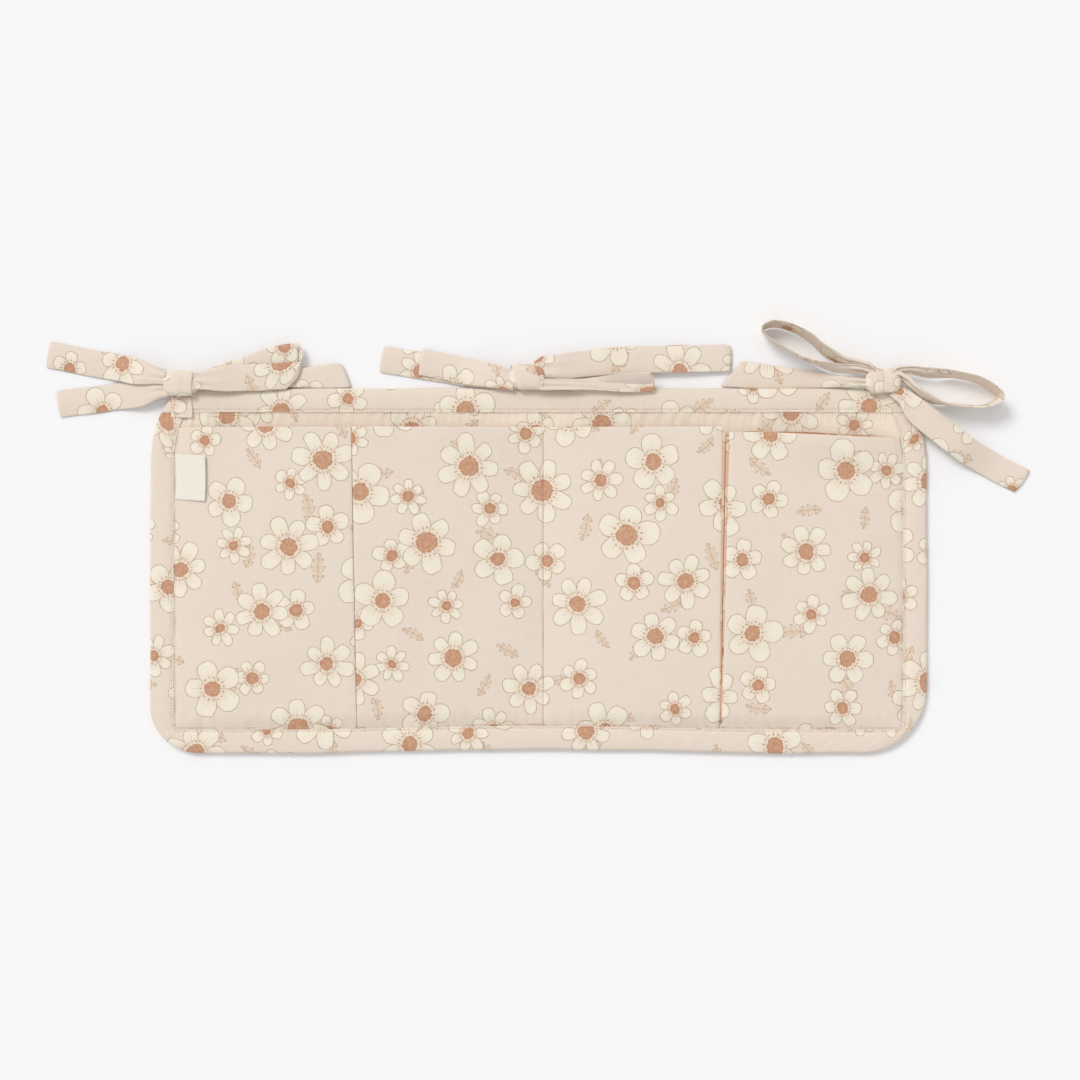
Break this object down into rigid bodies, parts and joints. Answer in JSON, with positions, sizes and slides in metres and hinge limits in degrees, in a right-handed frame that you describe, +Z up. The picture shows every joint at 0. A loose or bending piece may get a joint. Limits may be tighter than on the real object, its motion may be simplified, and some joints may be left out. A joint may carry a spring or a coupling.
{
  "type": "bedside caddy",
  "caption": "Flat padded cloth bed organizer with pleated pockets, a bound edge and three tied bows along its top edge.",
  "frame": {"origin": "centre of the flat underside of the panel, which lies on its back", "axes": "+X along the panel's width, +Y towards the tied edge, +Z up out of the front"},
  "size_m": [0.7605, 0.3341, 0.0208],
  "materials": {
    "lining": "printed woven cotton, flower print on pale pink",
    "panel": "printed woven cotton, flower print on pale pink",
    "pocket": "printed woven cotton, flower print on pale pink",
    "binding": "printed woven cotton strip, top-stitched",
    "strap": "printed woven cotton, folded tape",
    "pleat": "printed woven cotton in the fold's shade",
    "wadding": "polyester wadding",
    "label": "bare woven ribbon"
  },
  "bodies": {
    "panel": {"back_lining": "lining", "wadding": "wadding", "front_cloth": "panel", "edge_binding": "binding", "header_band": "binding", "header_end_tab": "binding", "pocket_pleat_1": "pleat", "pocket_pleat_2": "pleat", "pocket_pleat_3": "pleat", "pocket_pleat_4": "pleat", "tie_root_left": "strap", "knot_left": "strap", "tie_root_centre": "strap", "knot_centre": "strap", "tie_root_right": "strap", "knot_right": "strap"},
    "pocket_1": {"pocket_front_1": "pocket"},
    "pocket_2": {"pocket_front_2": "pocket"},
    "pocket_3": {"pocket_front_3": "pocket"},
    "pocket_4": {"pocket_front_4": "pocket"},
    "label": {"side_label": "label"},
    "tail_high_left": {"tail_high_left": "strap"},
    "tail_low_left": {"tail_low_left": "strap"},
    "loop_back_left": {"loop_back_left": "strap"},
    "loop_front_left": {"loop_front_left": "strap"},
    "tail_back_centre": {"tail_back_centre": "strap"},
    "tail_front_centre": {"tail_front_centre": "strap"},
    "loop_long_centre": {"loop_long_centre": "strap"},
    "loop_short_centre": {"loop_short_centre": "strap"},
    "tail_low_right": {"tail_low_right": "strap"},
    "loop_up_right": {"loop_up_right": "strap"},
    "loop_round_right": {"loop_round_right": "strap"},
    "tail_slant_right": {"tail_slant_right": "strap"}
  },
  "joints": [
    {"name": "pocket_1_lift", "type": "hinge", "parent": "panel", "child": "pocket_1", "pos_m": [-0.2809, 0, 0.0065], "axis": [0, -1, 0], "range_deg": [0, 12], "deforming": ["pocket_pleat_1"]},
    {"name": "pocket_2_lift", "type": "hinge", "parent": "panel", "child": "pocket_2", "pos_m": [0.003, 0, 0.0065], "axis": [0, 1, 0], "range_deg": [0, 12], "deforming": ["pocket_pleat_2"]},
    {"name": "pocket_3_lift", "type": "hinge", "parent": "panel", "child": "pocket_3", "pos_m": [0.0042, 0, 0.0065], "axis": [0, -1, 0], "range_deg": [0, 12], "deforming": ["pocket_pleat_3"]},
    {"name": "pocket_4_lift", "type": "hinge", "parent": "panel", "child": "pocket_4", "pos_m": [0.2809, 0, 0.0065], "axis": [0, 1, 0], "range_deg": [0, 12], "deforming": ["pocket_pleat_4"]},
    {"name": "label_flip", "type": "hinge", "parent": "pocket_1", "child": "label", "pos_m": [-0.2803, 0.073, 0.00769], "axis": [0, -1, 0], "range_deg": [0, 150]},
    {"name": "tail_high_left_lift", "type": "hinge", "parent": "tail_low_left", "child": "tail_high_left", "pos_m": [-0.28655, 0.14925, 0.01268], "axis": [0, -1, 0], "range_deg": [-75, 0]},
    {"name": "tail_low_left_lift", "type": "hinge", "parent": "panel", "child": "tail_low_left", "pos_m": [-0.28655, 0.13962, 0.01268], "axis": [0, 1, 0], "range_deg": [0, 75]},
    {"name": "loop_back_left_lift", "type": "hinge", "parent": "panel", "child": "loop_back_left", "pos_m": [-0.26405, 0.14505, 0.0145], "axis": [0, -1, 0], "range_deg": [0, 75]},
    {"name": "loop_front_left_lift", "type": "hinge", "parent": "loop_back_left", "child": "loop_front_left", "pos_m": [-0.26405, 0.14649, 0.0145], "axis": [0, 1, 0], "range_deg": [-75, 0]},
    {"name": "tail_back_centre_lift", "type": "hinge", "parent": "panel", "child": "tail_back_centre", "pos_m": [-0.02015, 0.14729, 0.01232], "axis": [0, 1, 0], "range_deg": [0, 75]},
    {"name": "tail_front_centre_lift", "type": "hinge", "parent": "tail_back_centre", "child": "tail_front_centre", "pos_m": [-0.02015, 0.14729, 0.01232], "axis": [0, -1, 0], "range_deg": [-75, 0]},
    {"name": "loop_long_centre_lift", "type": "hinge", "parent": "panel", "child": "loop_long_centre", "pos_m": [0.00235, 0.15703, 0.01135], "axis": [0, -1, 0], "range_deg": [0, 75]},
    {"name": "loop_short_centre_lift", "type": "hinge", "parent": "panel", "child": "loop_short_centre", "pos_m": [0.00235, 0.14339, 0.01405], "axis": [0, -1, 0], "range_deg": [0, 75]},
    {"name": "tail_low_right_lift", "type": "hinge", "parent": "panel", "child": "tail_low_right", "pos_m": [0.25405, 0.14439, 0.0116], "axis": [0, 1, 0], "range_deg": [0, 75]},
    {"name": "loop_up_right_lift", "type": "hinge", "parent": "panel", "child": "loop_up_right", "pos_m": [0.25405, 0.15526, 0.01415], "axis": [0, 1, 0], "range_deg": [0, 75]},
    {"name": "loop_round_right_lift", "type": "hinge", "parent": "panel", "child": "loop_round_right", "pos_m": [0.27655, 0.15218, 0.0143], "axis": [0, -1, 0], "range_deg": [0, 75]},
    {"name": "tail_slant_right_lift", "type": "hinge", "parent": "panel", "child": "tail_slant_right", "pos_m": [0.27655, 0.13742, 0.0116], "axis": [0, -1, 0], "range_deg": [0, 75]}
  ]
}
